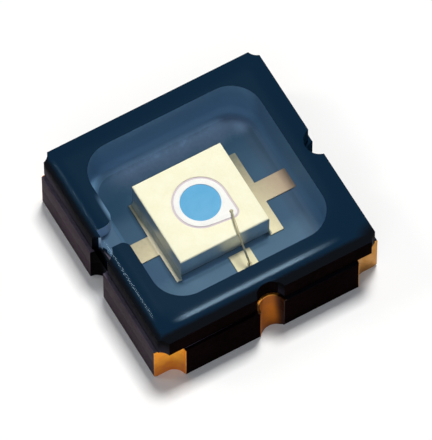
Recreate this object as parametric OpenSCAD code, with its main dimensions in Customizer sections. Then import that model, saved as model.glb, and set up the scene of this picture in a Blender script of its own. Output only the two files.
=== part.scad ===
// Avalanche photodiode in a leadless chip carrier under clear resin, in millimetres.
// The origin is the middle of the seating plane, +Z is up and the front contact faces -Y.

/* [Carrier] */
// Width of the carrier, left to right
body_w = 3; // [2.8:0.05:3.6]
// Depth of the carrier, front to back
body_d = 3; // [2.8:0.05:3.6]
// Height of the cavity floor above the seating plane
floor_z = 0.33; // [0.2:0.01:0.38]
// Height at which the upper wall layer sits on the lower one
step_z = 0.61; // [0.5:0.01:0.72]
// Height of the upper wall layer's rim
rim_z = 0.9; // [0.84:0.01:1.1]
// Set-back of the upper wall layer from the faces of the lower layers
upper_inset = 0.045; // [0.02:0.005:0.08]

/* [Cavity] */
// Thickness of the left wall
wall_left = 0.385; // [0.34:0.005:0.5]
// Thickness of the right wall
wall_right = 0.34; // [0.31:0.005:0.5]
// Thickness of the front wall
wall_front = 0.47; // [0.36:0.01:0.56]
// Thickness of the rear wall
wall_rear = 0.29; // [0.26:0.01:0.5]
// Radius of the cavity's corners
cavity_r = 0.4; // [0.2:0.02:0.5]
// Width of the channel from the cavity to the left notch
channel_w = 0.28; // [0.2:0.01:0.34]
// Distance of the channel's middle behind the carrier's middle
channel_y = 0.12; // [0:0.01:0.15]
// Thickness of wall left under the channel
channel_floor = 0.07; // [0.05:0.01:0.12]

/* [Edge notches] */
// Reach of a corner slot along the front and rear edges
slot_x = 0.335; // [0.25:0.005:0.4]
// Reach of a corner slot along the side edges
slot_y = 0.155; // [0.1:0.005:0.2]
// Radius of the half-round notch in the middle of each edge
notch_r = 0.155; // [0.12:0.005:0.2]
// Reach of the front and rear notches into the base layer
foot_in = 0.085; // [0.06:0.005:0.15]
// Distance of the side notches' middle behind the carrier's middle
notch_y = 0.02; // [-0.1:0.01:0.1]
// Step from a notch to the wider notch in the upper wall layer
collar_w = 0.034; // [0.02:0.002:0.05]
// Radius of the round bites in the upper wall layer's corners
bite_r = 0.15; // [0.1:0.005:0.2]

/* [Metal] */
// Thickness of the plated metal
metal_t = 0.02; // [0.01:0.001:0.03]
// Width of a solder land around its slot or notch
land_w = 0.25; // [0.15:0.01:0.35]
// Width of the rails buried under the side walls
rail_w = 0.1; // [0.05:0.01:0.12]
// Wall left between a side notch and the buried rail
rail_cover = 0.045; // [0.03:0.005:0.06]

/* [Die pad] */
// Die pad that shows on the left of the chip
margin_left = 0.07; // [0.03:0.01:0.15]
// Die pad that shows on the right of the chip
margin_right = 0.18; // [0.03:0.01:0.25]
// Reach of the die pad's two legs in front of the chip
margin_front = 0.035; // [0.03:0.005:0.08]
// Reach of the chip over the die pad's rear edge
overhang_rear = 0.035; // [0.02:0.005:0.1]
// Width of the tabs that run into the side walls
tab_w = 0.28; // [0.15:0.01:0.4]
// Distance of the tabs' middle behind the carrier's middle
tab_y = 0.015; // [-0.1:0.005:0.1]

/* [Bond pad] */
// Width of the bond pad
bond_w = 0.28; // [0.2:0.01:0.4]
// Distance of the bond pad's middle to the right of the carrier's middle
bond_x = 0.085; // [0:0.005:0.15]
// Distance from the chip's front edge to the bond pad
bond_gap = 0.045; // [0.02:0.005:0.1]
// Clearance between the die pad and the bond pad
pad_gap = 0.1; // [0.05:0.01:0.15]
// Length of the bond pad under the front wall
pad_tuck = 0.1; // [0.05:0.01:0.12]
// Width of the lead from the bond pad to the front contact
lead_w = 0.2; // [0.1:0.01:0.25]

/* [Chip] */
// Width of the chip
chip_w = 1.19; // [1:0.01:1.3]
// Depth of the chip
chip_d = 1.165; // [1:0.005:1.25]
// Thickness of the chip
chip_t = 0.31; // [0.25:0.01:0.36]
// Distance of the chip's middle to the right of the carrier's middle
chip_x = -0.073; // [-0.15:0.001:0.15]
// Distance of the chip's middle behind the carrier's middle
chip_y = 0.074; // [0:0.001:0.15]
// Thickness of the adhesive under the chip
attach_t = 0.02; // [0.01:0.002:0.04]
// Width of the adhesive's fillet around the chip
fillet_w = 0.03; // [0.01:0.005:0.05]
// Height of the adhesive's fillet up the chip's sides
fillet_h = 0.08; // [0.05:0.01:0.15]
// Thickness of each film on the chip
film_t = 0.01; // [0.005:0.001:0.015]
// Bare oxide between the shield metal and the chip's edges
shield_margin = 0.006; // [0.005:0.001:0.03]

/* [Active area] */
// Diameter of the active window
window_d = 0.49; // [0.3:0.01:0.52]
// Width of the anode ring around the window
ring_w = 0.073; // [0.05:0.001:0.08]
// Width of the bare line around the anode ring
gap_w = 0.025; // [0.015:0.001:0.04]
// Radius of the anode ring's bond lobe
lobe_r = 0.068; // [0.045:0.001:0.075]
// Distance of the lobe's middle outside the ring
lobe_out = 0.062; // [0.04:0.001:0.07]
// Direction of the lobe, from the right towards the back
lobe_angle = -48; // [-60:1:-30]

/* [Bond wire] */
// Diameter of the wire
wire_d = 0.025; // [0.018:0.001:0.03]
// Diameter of the ball on the lobe
ball_d = 0.046; // [0.036:0.002:0.07]
// Height of the ball
ball_h = 0.024; // [0.016:0.002:0.03]
// Height of the wire above the chip's front edge
edge_clear = 0.03; // [0.015:0.005:0.06]
// Where the wire crosses the chip's edge, to the right of the bond pad's middle
edge_dx = 0.02; // [-0.05:0.005:0.05]
// Distance of the stitch in front of the bond pad's rear edge
stitch_in = 0.2; // [0.1:0.01:0.24]
// Distance of the stitch to the right of the bond pad's middle
stitch_dx = 0.035; // [-0.05:0.005:0.05]
// Diameter of the flattened stitch
stitch_d = 0.06; // [0.04:0.002:0.08]
// Thickness of the flattened stitch
stitch_h = 0.012; // [0.008:0.001:0.016]

/* [Resin] */
// Height of the resin above the rim
cap_h = 0.1; // [0.06:0.01:0.16]
// Width of the rounded shoulder along the resin's edges
shoulder_w = 0.2; // [0.15:0.01:0.3]
// Height above the lower wall layer at which the resin ends in the left notch
overflow_gap = 0.05; // [0.02:0.01:0.1]

/* [Hidden] */
$fn = 64;
// Overshoot of the cutting shapes
cut = 0.05;
// Degrees in a full turn
full_turn = 360;

carrier_black = "#2c262e";
rim_black = "#16222f";
gold = "#c98a2c";
pad_gold = "#d8c89a";
adhesive_grey = "#8d8f8c";
silicon_grey = "#3b4650";
oxide_mauve = "#b9a9b4";
window_blue = "#68b2e2";
chip_cream = "#f8f6da";
resin_blue = [0.55, 0.68, 0.8, 0.35];

half_w = body_w / 2;
half_d = body_d / 2;
upper_w = body_w - 2 * upper_inset;
upper_d = body_d - 2 * upper_inset;
cavity_left = wall_left - half_w;
cavity_right = half_w - wall_right;
cavity_front = wall_front - half_d;
cavity_rear = half_d - wall_rear;
upper_notch_r = notch_r + collar_w;
rail_x = half_w - notch_r - rail_cover - rail_w / 2;

// Heights of the stack on the cavity floor
pad_top = floor_z + metal_t;
attach_top = pad_top + attach_t;
chip_bottom = attach_top + film_t;
chip_top = chip_bottom + chip_t;
oxide_top = chip_top + film_t;
metal_top = oxide_top + film_t;
top_z = rim_z + cap_h;

chip_front = chip_y - chip_d / 2;
chip_rear = chip_y + chip_d / 2;
pad_left = chip_x - chip_w / 2 - margin_left;
pad_right = chip_x + chip_w / 2 + margin_right;
pad_front = chip_front - margin_front;
pad_rear = chip_rear - overhang_rear;
bond_rear = chip_front - bond_gap;

ring_r = window_d / 2 + ring_w;
lobe_reach = ring_r + lobe_out;

// The wire is one arc through the ball, a point above the chip's edge and the stitch
lobe_at = [chip_x, chip_y] + lobe_reach * [cos(lobe_angle), sin(lobe_angle)];
ball_at = [lobe_at[0], lobe_at[1], metal_top + ball_h / 2];
edge_at = [bond_x + edge_dx, chip_front, metal_top + edge_clear + wire_d / 2];
stitch_at = [bond_x + stitch_dx, bond_rear - stitch_in, pad_top + stitch_h / 2];
to_edge = edge_at - ball_at;
to_stitch = stitch_at - ball_at;
loop_normal = cross(to_edge, to_stitch);
loop_middle = ball_at + (cross(loop_normal, to_edge) * (to_stitch * to_stitch)
                         + cross(to_stitch, loop_normal) * (to_edge * to_edge))
                        / (2 * loop_normal * loop_normal);
loop_r = norm(ball_at - loop_middle);
loop_tilt = acos(loop_normal[2] / norm(loop_normal));
loop_turn = atan2(loop_normal[1], loop_normal[0]);
loop_across = [cos(loop_tilt) * cos(loop_turn), cos(loop_tilt) * sin(loop_turn), -sin(loop_tilt)];
loop_along = [-sin(loop_turn), cos(loop_turn), 0];

// Angle on the wire's arc at which a point lies
function loop_angle(point) = atan2((point - loop_middle) * loop_along, (point - loop_middle) * loop_across);

module at_corners() {
    for (side = [-1, 1], end = [-1, 1]) translate([side * half_w, end * half_d]) children();
}

module at_front_and_rear() {
    for (end = [-1, 1]) translate([0, end * half_d]) children();
}

module at_sides() {
    for (side = [-1, 1]) translate([side * half_w, notch_y]) children();
}

module rounded_rectangle(low, high, r) {
    translate([low[0] + r, low[1]]) square([high[0] - low[0] - 2 * r, high[1] - low[1]]);
    translate([low[0], low[1] + r]) square([high[0] - low[0], high[1] - low[1] - 2 * r]);
    for (x = [low[0] + r, high[0] - r], y = [low[1] + r, high[1] - r]) translate([x, y]) circle(r = r);
}

// Oblong slot around a corner of the carrier
module slot(grow) {
    run = slot_x - slot_y;
    square([2 * run, 2 * (slot_y + grow)], center = true);
    for (side = [-1, 1]) translate([side * run, 0]) circle(r = slot_y + grow);
}

// Shallow bite of the base layer in the front or rear face, as wide as the notch above it
module foot_bite(end, grow) {
    r = (pow(notch_r, 2) + pow(foot_in, 2)) / (2 * foot_in);
    translate([0, end * (half_d + r - foot_in)]) circle(r = r + grow);
}

module base_outline() {
    difference() {
        square([body_w, body_d], center = true);
        at_corners() slot(metal_t);
        at_sides() circle(r = notch_r);
        foot_bite(-1, metal_t);
        foot_bite(1, metal_t);
    }
}

module wall_outline() {
    difference() {
        square([body_w, body_d], center = true);
        cavity_outline();
        at_corners() slot(metal_t);
        at_sides() circle(r = notch_r);
        at_front_and_rear() circle(r = notch_r + metal_t);
    }
}

module cavity_outline() {
    rounded_rectangle([cavity_left, cavity_front], [cavity_right, cavity_rear], cavity_r);
}

// Channel from the cavity into the left notch, in the upper wall layer
module channel(end_z) {
    low_z = step_z + channel_floor;
    start_x = upper_notch_r - half_w - cut;
    translate([start_x, channel_y - channel_w / 2, low_z])
        cube([cavity_left - start_x + cut, channel_w, end_z - low_z]);
}

module base_layer() {
    color(carrier_black) translate([0, 0, metal_t]) linear_extrude(floor_z - metal_t) base_outline();
}

module lower_wall_layer() {
    color(carrier_black) difference() {
        translate([0, 0, floor_z]) linear_extrude(step_z - floor_z) wall_outline();
        printed_trace() die_pad_outline();
        printed_trace() bond_pad_outline();
    }
}

module upper_wall_layer() {
    color(rim_black) difference() {
        translate([0, 0, step_z]) linear_extrude(rim_z - step_z) difference() {
            square([upper_w, upper_d], center = true);
            cavity_outline();
            at_corners() circle(r = bite_r);
            at_sides() circle(r = upper_notch_r);
            translate([0, -half_d]) circle(r = upper_notch_r);
        }
        channel(rim_z + cut);
    }
}

// Plating of a slot or notch, with its solder land underneath
module plated_edge() {
    color(gold) intersection() {
        translate([-half_w, -half_d, 0]) cube([body_w, body_d, step_z + metal_t]);
        children();
    }
}

module corner_contact(side, end) {
    land_size = 2 * [slot_x + land_w, slot_y + land_w];
    plated_edge() translate([side * half_w, end * half_d, 0]) {
        linear_extrude(step_z) difference() {
            slot(metal_t);
            slot(0);
        }
        linear_extrude(metal_t) difference() {
            square(land_size, center = true);
            slot(0);
        }
    }
}

module edge_contact(end) {
    land_size = [2 * notch_r + land_w, 2 * (notch_r + land_w)];
    plated_edge() {
        linear_extrude(floor_z) difference() {
            foot_bite(end, metal_t);
            foot_bite(end, 0);
        }
        linear_extrude(metal_t) difference() {
            translate([0, end * half_d]) square(land_size, center = true);
            foot_bite(end, 0);
        }
        translate([0, 0, floor_z]) linear_extrude(metal_t) difference() {
            translate([0, end * half_d]) circle(r = notch_r);
            foot_bite(end, 0);
        }
        translate([0, end * half_d, floor_z]) linear_extrude(step_z - floor_z) difference() {
            circle(r = notch_r + metal_t);
            circle(r = notch_r);
        }
    }
}

// Ledge of plating that shows in the wider notch of the upper wall layer
module plated_ledge(end) {
    plated_edge() translate([0, end * half_d, step_z]) linear_extrude(metal_t) difference() {
        circle(r = upper_notch_r);
        circle(r = notch_r);
    }
}

module front_left_contact() { corner_contact(-1, -1); }
module front_right_contact() { corner_contact(1, -1); }
module rear_left_contact() { corner_contact(-1, 1); }
module rear_right_contact() { corner_contact(1, 1); }
module front_contact() {
    edge_contact(-1);
    plated_ledge(-1);
}

module rear_contact() { edge_contact(1); }

module printed_trace() {
    translate([0, 0, floor_z]) linear_extrude(metal_t) children();
}

// Plate under the chip, cut back behind the bond pad between two legs beside the chip
module die_plate_outline() {
    recess_d = bond_rear + pad_gap - pad_front + cut;
    difference() {
        translate([pad_left, pad_front]) square([pad_right - pad_left, pad_rear - pad_front]);
        translate([chip_x - chip_w / 2, pad_front - cut]) square([chip_w, recess_d]);
    }
}

// The tabs meet a rail under each side wall, and the rails end on the corner contacts
module die_pad_outline() {
    difference() {
        union() {
            die_plate_outline();
            translate([-rail_x, tab_y - tab_w / 2]) square([2 * rail_x, tab_w]);
            for (side = [-1, 1])
                translate([side * rail_x, 0]) square([rail_w, body_d - slot_y], center = true);
        }
        at_corners() slot(metal_t);
    }
}

module bond_pad_outline() {
    pad_end = cavity_front - pad_tuck;
    difference() {
        union() {
            translate([bond_x - bond_w / 2, pad_end]) square([bond_w, bond_rear - pad_end]);
            translate([-lead_w / 2, -half_d]) square([lead_w, wall_front]);
        }
        translate([0, -half_d]) circle(r = notch_r + metal_t);
    }
}

module die_pad() {
    color(pad_gold) printed_trace() die_pad_outline();
}

module bond_pad() {
    color(pad_gold) printed_trace() bond_pad_outline();
}

module on_chip(z) {
    translate([chip_x, chip_y, z]) children();
}

module chip_slab(z, thickness) {
    on_chip(z) linear_extrude(thickness) square([chip_w, chip_d], center = true);
}

// Section of the adhesive: it slopes from its foot on the pad up to the chip's side
module fillet_section(width) {
    foot = width / 2 + fillet_w;
    fillet_top = pad_top + fillet_h;
    polygon([[-foot, pad_top], [foot, pad_top], [width / 2, fillet_top], [-width / 2, fillet_top]]);
}

module die_attach() {
    color(adhesive_grey) difference() {
        intersection() {
            on_chip(0) rotate([90, 0, 0]) linear_extrude(body_d, center = true) fillet_section(chip_w);
            on_chip(0) rotate([90, 0, 90]) linear_extrude(body_w, center = true) fillet_section(chip_d);
            translate([0, 0, pad_top]) linear_extrude(fillet_h) die_plate_outline();
        }
        chip_slab(attach_top, chip_t);
    }
}

module chip_back_contact() {
    color(gold) chip_slab(attach_top, film_t);
}

module apd_chip() {
    color(silicon_grey) chip_slab(chip_bottom, chip_t);
}

module oxide_layer() {
    color(oxide_mauve) on_chip(chip_top) linear_extrude(film_t) difference() {
        square([chip_w, chip_d], center = true);
        circle(d = window_d);
    }
}

module active_window() {
    color(window_blue) on_chip(chip_top) cylinder(d = window_d, h = film_t);
}

// Round field with a smaller round lobe beside it and straight sides that touch both
module keyhole(grow) {
    big = ring_r + grow;
    small = lobe_r + grow;
    touch = acos((big - small) / lobe_reach);
    rotate(lobe_angle) {
        circle(r = big);
        translate([lobe_reach, 0]) circle(r = small);
        polygon([big * [cos(touch), sin(touch)], big * [cos(touch), -sin(touch)],
                 [lobe_reach, 0] + small * [cos(touch), -sin(touch)],
                 [lobe_reach, 0] + small * [cos(touch), sin(touch)]]);
    }
}

module anode_ring() {
    color(chip_cream) on_chip(oxide_top) linear_extrude(film_t) difference() {
        keyhole(0);
        circle(d = window_d);
    }
}

module shield_metal() {
    color(chip_cream) on_chip(oxide_top) linear_extrude(film_t) difference() {
        square([chip_w - 2 * shield_margin, chip_d - 2 * shield_margin], center = true);
        keyhole(gap_w);
    }
}

module bond_wire() {
    start = loop_angle(ball_at);
    sweep = (loop_angle(stitch_at) - start + full_turn) % full_turn;
    color(gold) {
        translate([ball_at[0], ball_at[1], metal_top]) cylinder(d = ball_d, h = ball_h);
        translate(loop_middle) rotate([0, loop_tilt, loop_turn]) rotate(start)
            rotate_extrude(angle = sweep) translate([loop_r, 0]) circle(d = wire_d);
        translate([stitch_at[0], stitch_at[1], pad_top]) cylinder(d = stitch_d, h = stitch_h);
    }
}

// Section of the resin above the rim: flat top, and a round shoulder down to each edge
module cap_section(width) {
    shoulder_r = (pow(shoulder_w, 2) + pow(cap_h, 2)) / (2 * cap_h);
    flat_half = width / 2 - shoulder_w;
    intersection() {
        translate([-width / 2, rim_z]) square([width, cap_h]);
        union() {
            translate([-flat_half, rim_z]) square([2 * flat_half, cap_h]);
            for (side = [-1, 1]) translate([side * flat_half, top_z - shoulder_r]) circle(r = shoulder_r);
        }
    }
}

module resin_cap() {
    intersection() {
        rotate([90, 0, 0]) linear_extrude(body_d, center = true) cap_section(upper_w);
        rotate([90, 0, 90]) linear_extrude(body_w, center = true) cap_section(upper_d);
    }
}

module encapsulant() {
    overflow_z = step_z + overflow_gap;
    color(resin_blue) difference() {
        union() {
            resin_cap();
            translate([0, 0, floor_z]) linear_extrude(rim_z - floor_z) cavity_outline();
            channel(rim_z);
            translate([0, 0, overflow_z]) linear_extrude(rim_z - overflow_z) intersection() {
                square([upper_w, upper_d], center = true);
                translate([-half_w, notch_y]) circle(r = upper_notch_r);
            }
        }
        translate([0, 0, rim_z - cut]) at_corners() cylinder(r = bite_r, h = cap_h + 2 * cut);
        translate([half_w, notch_y, rim_z - cut]) cylinder(r = upper_notch_r, h = cap_h + 2 * cut);
        translate([0, -half_d, rim_z - cut]) cylinder(r = upper_notch_r, h = cap_h + 2 * cut);
        die_pad();
        bond_pad();
        die_attach();
        chip_slab(attach_top, oxide_top - attach_top);
        anode_ring();
        shield_metal();
        bond_wire();
    }
}

base_layer();
lower_wall_layer();
upper_wall_layer();
front_left_contact();
front_right_contact();
rear_left_contact();
rear_right_contact();
front_contact();
rear_contact();
die_pad();
bond_pad();
die_attach();
chip_back_contact();
apd_chip();
oxide_layer();
active_window();
anode_ring();
shield_metal();
bond_wire();
encapsulant();
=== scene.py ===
import math

import bmesh
import bpy
from mathutils import Matrix, Vector
from mathutils.geometry import delaunay_2d_cdt


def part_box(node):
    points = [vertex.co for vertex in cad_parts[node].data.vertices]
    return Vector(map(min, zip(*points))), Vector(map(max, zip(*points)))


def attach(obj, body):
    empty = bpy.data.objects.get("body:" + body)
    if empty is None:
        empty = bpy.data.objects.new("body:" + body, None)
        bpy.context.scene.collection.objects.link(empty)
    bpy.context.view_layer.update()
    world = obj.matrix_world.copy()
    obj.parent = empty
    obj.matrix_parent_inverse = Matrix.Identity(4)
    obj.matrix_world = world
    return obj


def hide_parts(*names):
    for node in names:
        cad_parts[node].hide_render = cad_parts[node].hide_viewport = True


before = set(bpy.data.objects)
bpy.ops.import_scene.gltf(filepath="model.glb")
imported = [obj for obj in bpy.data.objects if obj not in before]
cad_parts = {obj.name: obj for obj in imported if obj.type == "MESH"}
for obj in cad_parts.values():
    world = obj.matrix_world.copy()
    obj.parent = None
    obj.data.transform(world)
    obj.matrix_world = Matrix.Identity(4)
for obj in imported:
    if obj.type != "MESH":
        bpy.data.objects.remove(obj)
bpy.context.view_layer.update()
mm = 0.001
print('frame loaded:', len(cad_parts), 'nodes')


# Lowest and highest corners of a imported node, in millimetres
def nodeBox(node):
    return [[round(c / mm, 4) for c in corner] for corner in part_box(node)]


def linear(hexColour):
    parts = [int(hexColour[i:i + 2], 16) / 255 for i in (1, 3, 5)]
    return [c / 12.92 if c <= 0.04045 else ((c + 0.055) / 1.055) ** 2.4 for c in parts] + [1.0]


# Values and links go by socket, and a link from a node takes its first output; stops are a colour ramp's
# (position, hex) pairs, and the rest are the node's own settings
def addNode(tree, kind, values=None, links=None, stops=(), **settings):
    node = tree.nodes.new('ShaderNode' + kind)
    for name, value in settings.items():
        setattr(node, name, value)
    for socket, value in (values or {}).items():
        node.inputs[socket].default_value = value
    for socket, source in (links or {}).items():
        output = source.outputs[0] if isinstance(source, bpy.types.Node) else source
        tree.links.new(output, node.inputs[socket])
    while stops and len(node.color_ramp.elements) < len(stops):
        node.color_ramp.elements.new(0.5)
    for index, (position, colour) in enumerate(sorted(stops)):
        node.color_ramp.elements[index].position = position
        node.color_ramp.elements[index].color = linear(colour)
    return node


def newMaterial(name):
    material = bpy.data.materials.new(name)
    material.use_nodes = True
    tree = material.node_tree
    tree.nodes.clear()
    place = addNode(tree, 'TexCoord').outputs['Object']
    return material, tree, place


def finished(material, tree, shader):
    addNode(tree, 'OutputMaterial', links={'Surface': shader})
    return material


# One noise mostly stays within noiseSpan, and the sum of two within sumSpan
noiseMiddle = 0.5
noiseSpan = {'From Min': 0.3, 'From Max': 0.7}
sumSpan = {'From Min': 0.7, 'From Max': 1.3}


# Noise scale for grains of a size in mm; real grains are finer than a pixel, so they are drawn coarser
def noiseScale(size):
    return 1 / (size * mm)


# Turns parts, (axis, mm where it starts, mm where it is full), into spans along those axes
def spansAlong(tree, place, parts):
    axes = addNode(tree, 'SeparateXYZ', links={'Vector': place}).outputs
    return [(axes[axis], start, full) for axis, start, full in parts]


# How far a spot lies inside all the spans, up to a strength
def inside(tree, spans, strength=1.0, operation='MULTIPLY', blend='SMOOTHSTEP'):
    amount = None
    for measure, start, full in spans:
        reach = {'From Min': start * mm, 'From Max': full * mm, 'To Max': 1.0 if amount else strength}
        part = addNode(tree, 'MapRange', reach, {'Value': measure}, interpolation_type=blend)
        if amount:
            part = addNode(tree, 'Math', links={0: amount, 1: part}, operation=operation)
        amount = part
    return amount


# Mixes tints, (hex, strength, parts), into a colour one after another; some are real stains, others painted
# light or painted shade
def tinted(tree, place, colour, tints):
    for shade, strength, parts in tints:
        amount = inside(tree, spansAlong(tree, place, parts), strength)
        mix = addNode(tree, 'Mix', {'B': linear(shade)}, {'Factor': amount, 'A': colour}, data_type='RGBA')
        colour = mix.outputs['Result']
    return colour


# Two noises, grain and cloud, wander between two tones, and the grain shows in the gloss and the relief too
def grainyMaterial(name, tones, look, finish, tints):
    material, tree, place = newMaterial(name)
    grain = addNode(tree, 'TexNoise', {'Scale': noiseScale(look['grainMm']), **look['grain']},
                    {'Vector': place})
    cloud = addNode(tree, 'TexNoise', {'Scale': noiseScale(look['cloudMm']), **look['cloud']},
                    {'Vector': place})
    both = addNode(tree, 'Math', links={0: grain, 1: cloud}, operation='ADD')
    tone = addNode(tree, 'MapRange', sumSpan, {'Value': both})
    colour = addNode(tree, 'ValToRGB', links={'Fac': tone}, stops=tuple(enumerate(tones)))
    skin = tinted(tree, place, colour, tints)
    low, high = look['rough']
    gleam = addNode(tree, 'MapRange', {**noiseSpan, 'To Min': low, 'To Max': high}, {'Value': grain})
    bump = addNode(tree, 'Bump', {'Strength': 0.5, 'Distance': look['bumpMm'] * mm}, {'Height': grain})
    shader = addNode(tree, 'BsdfPrincipled', finish, {'Base Color': skin, 'Roughness': gleam, 'Normal': bump})
    return finished(material, tree, shader)


# Fired black ceramic: matt body, fine pressed grain, faint purple cast
ceramicLook = {'grainMm': 0.06, 'grain': {'Detail': 2.0}, 'cloudMm': 0.45, 'cloud': {'Detail': 3.0},
               'rough': (0.6, 0.8), 'bumpMm': 0.0014}


def firedCeramic(name, dark, pale, gloss, *tints):
    finish = {'IOR': 1.5, 'Specular IOR Level': gloss}
    return grainyMaterial('fired black ceramic, ' + name, (dark, pale), ceramicLook, finish, tints)


# Painted light: the sides get a paler, purple-brown copy of the ceramic
litSideCeramic = firedCeramic('sides, painted light', '#2a1c26', '#3e2d39', 0.12)
# Painted shade: the front and rear faces get a blacker copy, without gloss
shadedFaceCeramic = firedCeramic('front and rear faces, painted shade', '#0b0606', '#160c0d', 0.0)
# Painted light: the narrow ledge round the upper layer is painted a pale grey against the shade the upper
# layer casts on it
litLedgeCeramic = firedCeramic('ledge, painted light', '#544d5c', '#645d6c', 0.0)
# The upper layer is bluish black, blackest towards the rim; it is paler at its left rear, painted light
upperCeramic = firedCeramic('upper layer', '#1e1d26', '#2c2b36', 0.02,
                            ('#524b58', 1.0, (('X', -1.3, -1.4), ('Y', 0.4, 1.4))),
                            ('#07070a', 1.0, (('Z', 0.6, 0.88),)))
# The left notch goes from slate at its front to black at its rear: painted shade in its hollow
notchCeramic = firedCeramic('notch', '#232833', '#343a48', 0.02, ('#060406', 1.0, (('Y', 0.03, 0.12),)))

# Under the resin the rim is painted navy, a painted reflection of the resin's bluish sheen; plain black along
# the front and left edges and at the right front corner, where the painted sheen ends; the lip is a painted
# highlight, a pale line along the rim's inner edge behind the channel
rimLook = {'bare': '#101318', 'navySheen': '#10273b', 'grainMm': 0.06, 'swayMm': 0.03, 'bumpMm': 0.001,
           'bump': 0.4, 'finish': {'Roughness': 0.7, 'Specular IOR Level': 0.0},
           'edges': (('X', -1.41, -1.34), ('Y', -1.343, -1.273)),
           'cornerAt': (1.455, -1.455, 0.9), 'cornerReach': (0.12, 0.32),
           'lipHighlight': ('#5e7e9a', 1.0, (('X', -1.18, -1.125), ('X', -1.0, -1.05), ('Y', 0.22, 0.33),
                                    ('Y', 0.72, 0.45)))}


def rimUnderResin():
    material, tree, place = newMaterial('fired black ceramic, under resin')
    grain = addNode(tree, 'TexNoise', {'Scale': noiseScale(rimLook['grainMm']), 'Detail': 2.0},
                    {'Vector': place})
    spans = []
    for axis, bare, navySheen in spansAlong(tree, place, rimLook['edges']):
        sway = {1: rimLook['swayMm'] * mm}
        wavering = addNode(tree, 'Math', sway, {0: grain, 2: axis}, operation='MULTIPLY_ADD')
        spans.append((wavering, bare, navySheen))
    corner = {1: [c * mm for c in rimLook['cornerAt']]}
    reach = addNode(tree, 'VectorMath', corner, {0: place}, operation='DISTANCE').outputs['Value']
    spans.append((reach, *rimLook['cornerReach']))
    level = inside(tree, spans, operation='MINIMUM')
    tones = ((0, rimLook['bare']), (1, rimLook['navySheen']))
    colour = addNode(tree, 'ValToRGB', links={'Fac': level}, stops=tones)
    skin = tinted(tree, place, colour, [rimLook['lipHighlight']])
    relief = {'Strength': rimLook['bump'], 'Distance': rimLook['bumpMm'] * mm}
    bump = addNode(tree, 'Bump', relief, {'Height': grain})
    shader = addNode(tree, 'BsdfPrincipled', rimLook['finish'], {'Base Color': skin, 'Normal': bump})
    return finished(material, tree, shader)


rimCeramic = rimUnderResin()

# Glazed ceramic of the cavity: slate blue under the resin, in soft bands from the rear to the front; the
# bands
# are painted light and shade: palest next to the rear wall, against its shadow, darkest between the chip and
# the rear wall, and paler towards the front
cavityLook = {
    'cloudMm': 0.35, 'cloudSway': 0.1, 'grainMm': 0.04, 'grainSway': 0.05, 'rearMm': 1.2, 'frontMm': -1.1,
    'footMm': 0.326, 'wallMm': 0.356, 'bumpMm': 0.001, 'bump': 0.3,
    'finish': {'Roughness': 0.6, 'IOR': 1.5, 'Specular IOR Level': 0.05},
    'floor': ((0.0, '#506a86'), (0.03, '#5e7a9a'), (0.048, '#56708c'), (0.075, '#4a607a'), (0.12, '#42576e'),
              (0.19, '#28465d'), (0.28, '#334f66'), (0.4, '#3c5a72'), (0.7, '#405c75'), (0.77, '#4e6c83'),
              (0.82, '#537087'), (1.0, '#537087')),
    'wall': ((0.0, '#7caad0'), (0.08, '#7caad0'), (0.16, '#628cb0'), (1.0, '#648fb4')),
    'channel': ((0.0, '#a4c2e2'), (1.0, '#a0c0e0')),
    'tints': (
        ('#8aa8c8', 0.12, (('X', -1.08, -1.15),)),  # channel floor, painted light against the shade there
        # foot of the chip's front, painted light against the chip's shadow
        ('#7aa6c8', 0.8, (('X', -0.7, -0.64), ('X', 0.5, 0.42), ('Y', -0.6, -0.55), ('Y', 0.0, -0.3))),
        ('#1d4058', 0.8, (('X', -0.5, -0.9), ('Y', 0.4, 0.62))),  # left rear corner, painted shade
        ('#3c4452', 0.3, (('X', 0.84, 0.95), ('Y', 0.92, 0.7))),  # right of the chip, darker towards the right wall, painted shade
        ('#6484a2', 0.3, (('X', 0.98, 1.1),)),  # foot of the right wall, painted light against the wall's shadow
        ('#7c9cc0', 0.4, (('X', 0.82, 1.0), ('Y', 0.78, 0.95)))),  # right rear corner, painted light against the walls' shadow
}


def glazedCeramic(name, wall=None):
    material, tree, place = newMaterial('glazed slate-blue ceramic, ' + name)
    axes = addNode(tree, 'SeparateXYZ', links={'Vector': place}).outputs
    span = {'From Min': cavityLook['rearMm'] * mm, 'From Max': cavityLook['frontMm'] * mm}
    level = addNode(tree, 'MapRange', span, {'Value': axes['Y']})
    for size, sway in (('cloudMm', 'cloudSway'), ('grainMm', 'grainSway')):
        scale = noiseScale(cavityLook[size])
        grain = addNode(tree, 'TexNoise', {'Scale': scale, 'Detail': 3.0}, {'Vector': place})
        drift = addNode(tree, 'Math', {1: noiseMiddle}, {0: grain}, operation='SUBTRACT')
        level = addNode(tree, 'Math', {1: cavityLook[sway]}, {0: drift, 2: level}, operation='MULTIPLY_ADD')
    floorShadeBands = addNode(tree, 'ValToRGB', links={'Fac': level}, stops=cavityLook['floor'])
    skin = tinted(tree, place, floorShadeBands, cavityLook['tints'])
    if wall:
        wallLightBands = addNode(tree, 'ValToRGB', links={'Fac': level}, stops=cavityLook[wall])
        span = {'From Min': cavityLook['footMm'] * mm, 'From Max': cavityLook['wallMm'] * mm}
        rise = addNode(tree, 'MapRange', span, {'Value': axes['Z']})
        mix = addNode(tree, 'Mix', links={'Factor': rise, 'A': skin, 'B': wallLightBands}, data_type='RGBA')
        skin = mix.outputs['Result']
    relief = {'Strength': cavityLook['bump'], 'Distance': cavityLook['bumpMm'] * mm}
    bump = addNode(tree, 'Bump', relief, {'Height': grain})
    shader = addNode(tree, 'BsdfPrincipled', cavityLook['finish'], {'Base Color': skin, 'Normal': bump})
    return finished(material, tree, shader)


floorGlaze = glazedCeramic('floor')
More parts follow.
